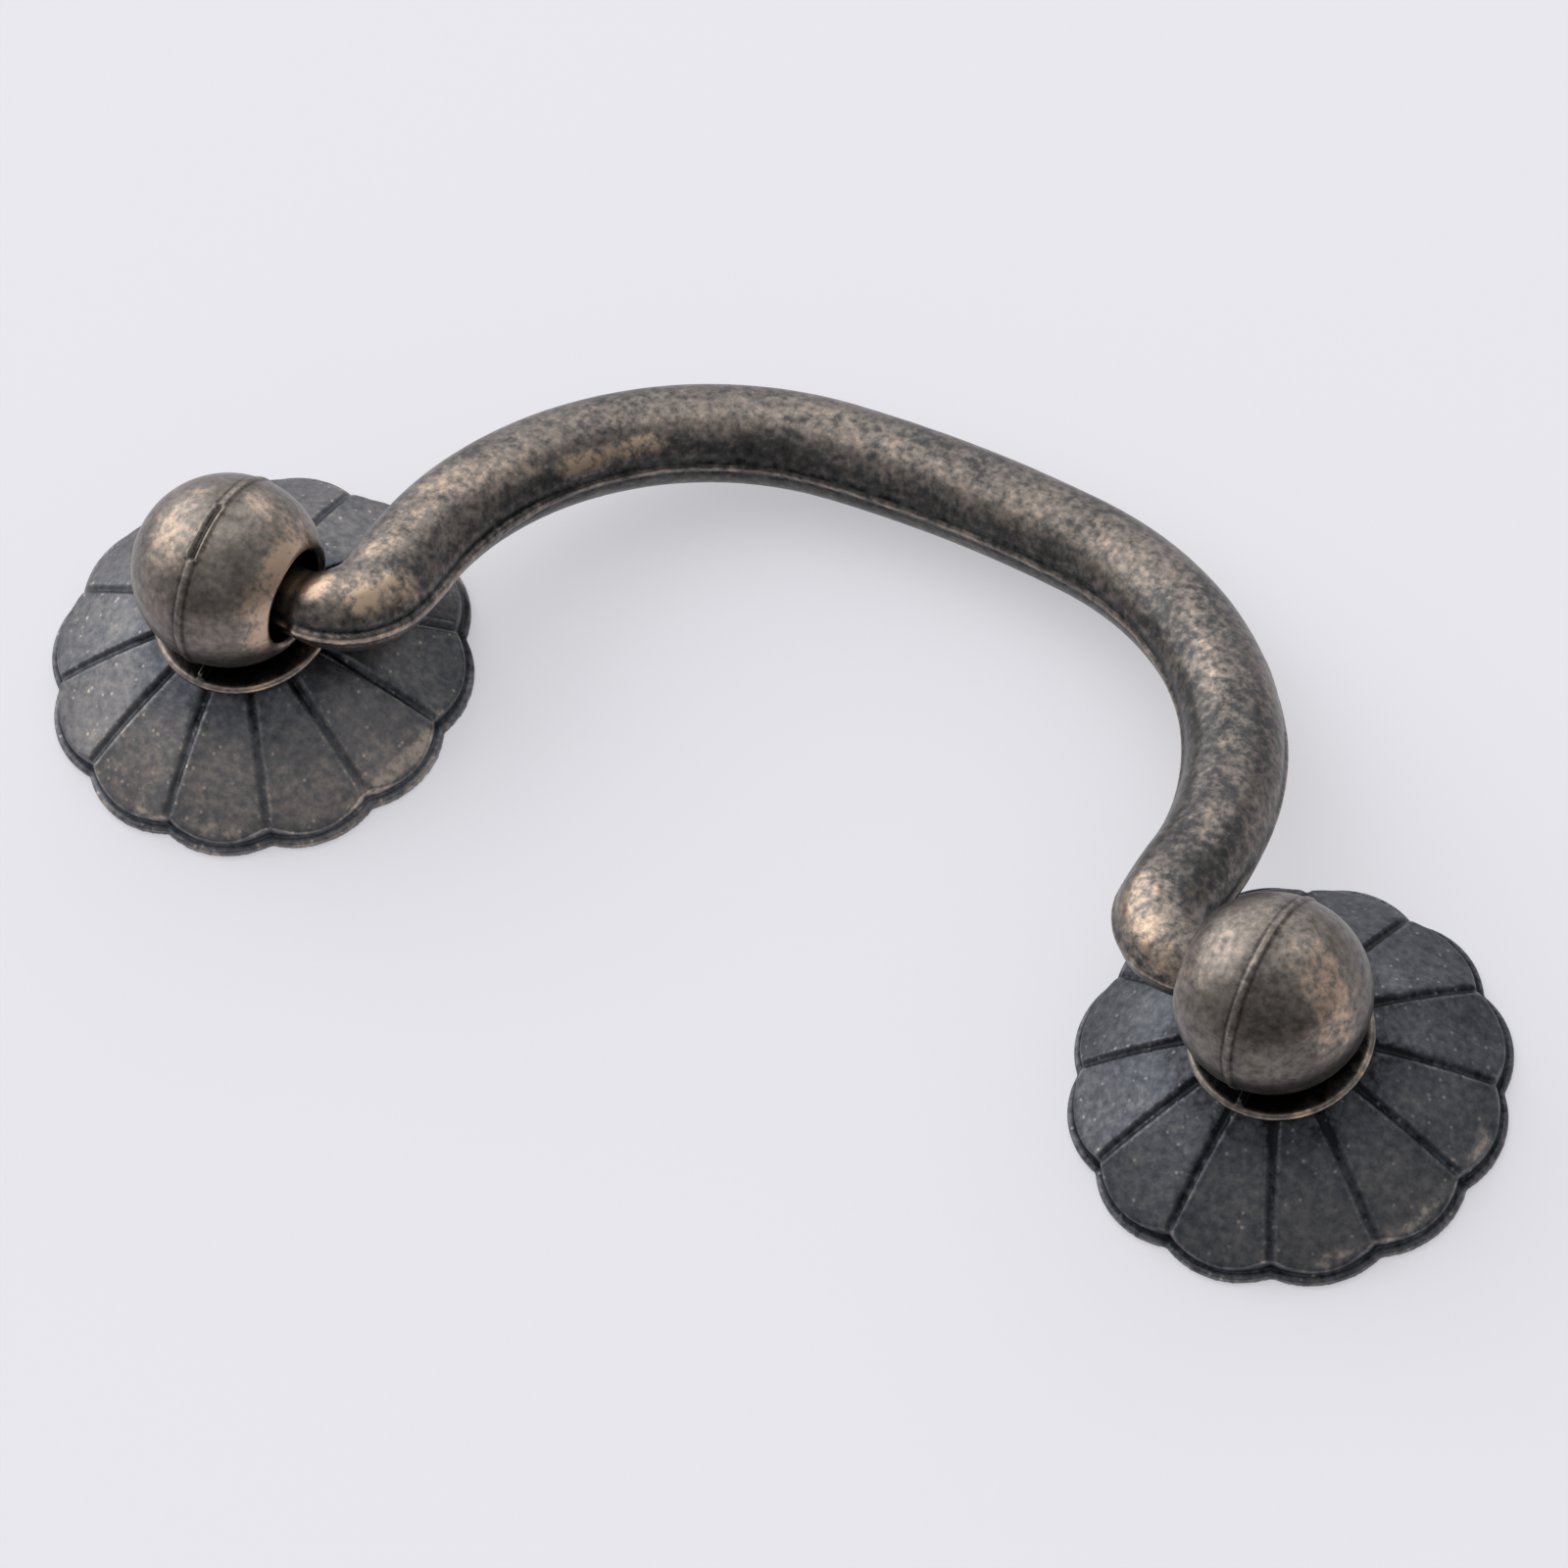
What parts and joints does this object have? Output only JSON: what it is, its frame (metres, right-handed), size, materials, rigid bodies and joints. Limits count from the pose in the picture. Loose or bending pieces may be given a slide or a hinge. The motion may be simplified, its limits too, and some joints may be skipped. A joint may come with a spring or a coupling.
{
  "type": "drawer pull",
  "caption": "Drop-bail drawer pull: a round cast rod swings in blind sockets of ball posts that stand on domed, petalled rosettes; aged bronze finish.",
  "frame": {"origin": "midway between the two screw holes, on the plane of the drawer front", "axes": "+X along the line of the screw holes, +Z out of the drawer front, the bail lies down towards +Y"},
  "size_m": [0.1318, 0.0585, 0.0243],
  "materials": {
    "rosette_finish": "blackened bronze plating on cast zinc alloy, satin, little wear",
    "post_finish": "aged bronze plating on cast zinc alloy, satin, rubbed at the edges",
    "bail_finish": "aged bronze plating on cast zinc alloy, satin, mottled copper wear"
  },
  "bodies": {
    "base": {"left_rosette": "rosette_finish", "right_rosette": "rosette_finish", "left_post": "post_finish", "right_post": "post_finish"},
    "bail": {"bail": "bail_finish"}
  },
  "joints": [
    {"name": "bail_swing", "type": "hinge", "parent": "base", "child": "bail", "pos_m": [0, 0, 0.01541], "axis": [1, 0, 0], "range_deg": [0, 213.6]}
  ]
}
